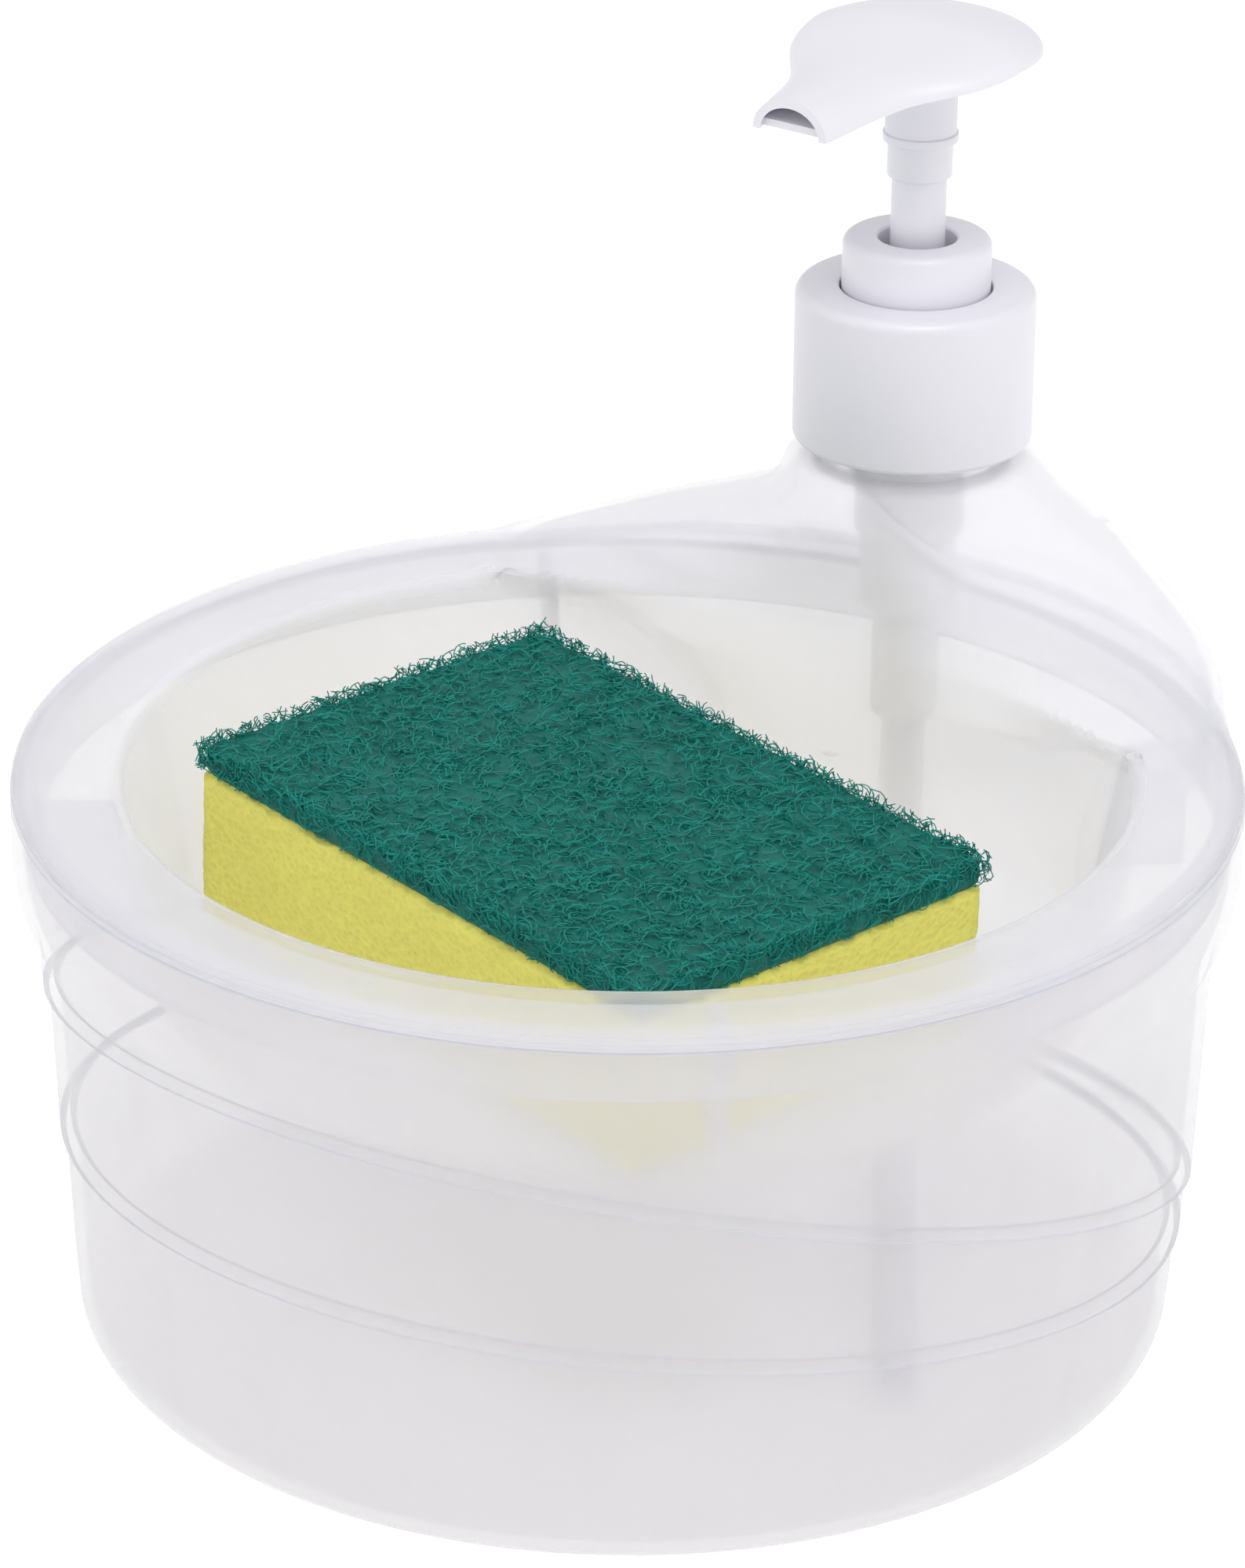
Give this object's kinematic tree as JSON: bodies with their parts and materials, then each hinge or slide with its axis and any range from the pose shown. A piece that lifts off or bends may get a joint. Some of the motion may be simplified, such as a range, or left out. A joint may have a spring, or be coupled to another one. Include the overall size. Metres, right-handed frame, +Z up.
{
  "type": "soap pump caddy",
  "caption": "Round translucent soap reservoir with a drop-in sponge tray, a lotion pump on the tray's raised boss and a scouring sponge in the dish.",
  "frame": {"origin": "middle of the bowl's flat underside", "axes": "+Z up, +Y towards the pump's side of the tray"},
  "size_m": [0.162, 0.1724, 0.1636],
  "materials": {
    "milky_bowl": "milky translucent polypropylene, satin",
    "milky_tray": "milky translucent polypropylene, satin",
    "yellow_foam": "open-cell foam",
    "green_pad": "matted scouring fibre",
    "white_plastic": "white moulded polypropylene, semi-gloss",
    "natural_plastic": "natural moulded polypropylene",
    "gasket_rubber": "soft sealing ring",
    "spring_steel": "drawn stainless wire"
  },
  "bodies": {
    "bowl": {"reservoir_bowl": "milky_bowl"},
    "tray": {"sponge_tray": "milky_tray"},
    "sponge": {"sponge_foam": "yellow_foam", "scouring_pad": "green_pad"},
    "pump_body": {"pump_housing": "natural_plastic", "neck_gasket": "gasket_rubber", "lock_ring": "white_plastic", "dip_tube": "natural_plastic", "return_spring": "spring_steel"},
    "collar": {"screw_collar": "white_plastic"},
    "plunger": {"piston_seal": "natural_plastic", "plunger_plug": "natural_plastic"},
    "head": {"pump_head": "white_plastic", "pump_stem": "white_plastic"},
    "ball": {"inlet_ball": "spring_steel"}
  },
  "joints": [
    {"name": "tray_lift", "type": "slide", "parent": "bowl", "child": "tray", "axis": [0, 0, 1], "range_m": [0, 0.12]},
    {"name": "sponge_lift", "type": "slide", "parent": "tray", "child": "sponge", "axis": [0, 0, 1], "range_m": [0, 0.05]},
    {"name": "pump_lift", "type": "slide", "parent": "tray", "child": "pump_body", "axis": [0, 0, 1], "range_m": [0, 0.0063]},
    {"name": "collar_turn", "type": "hinge", "parent": "pump_body", "child": "collar", "pos_m": [0, 0.066, 0.114], "axis": [0, 0, 1], "range_deg": [0, 540]},
    {"name": "pump_stroke", "type": "slide", "parent": "pump_body", "child": "plunger", "axis": [0, 0, -1], "range_m": [0, 0.014], "stiffness_N_per_m": 300, "springref_m": -0.01, "deforming": ["return_spring"]},
    {"name": "head_swivel", "type": "hinge", "parent": "plunger", "child": "head", "pos_m": [0, 0.066, 0.15], "axis": [0, 0, 1], "continuous": true},
    {"name": "ball_lift", "type": "slide", "parent": "pump_body", "child": "ball", "axis": [0, 0, 1], "range_m": [0, 0.002]}
  ],
  "couplings": [
    {"joint": "pump_lift", "follows": "collar_turn", "m_per_rad": 0.000668}
  ]
}
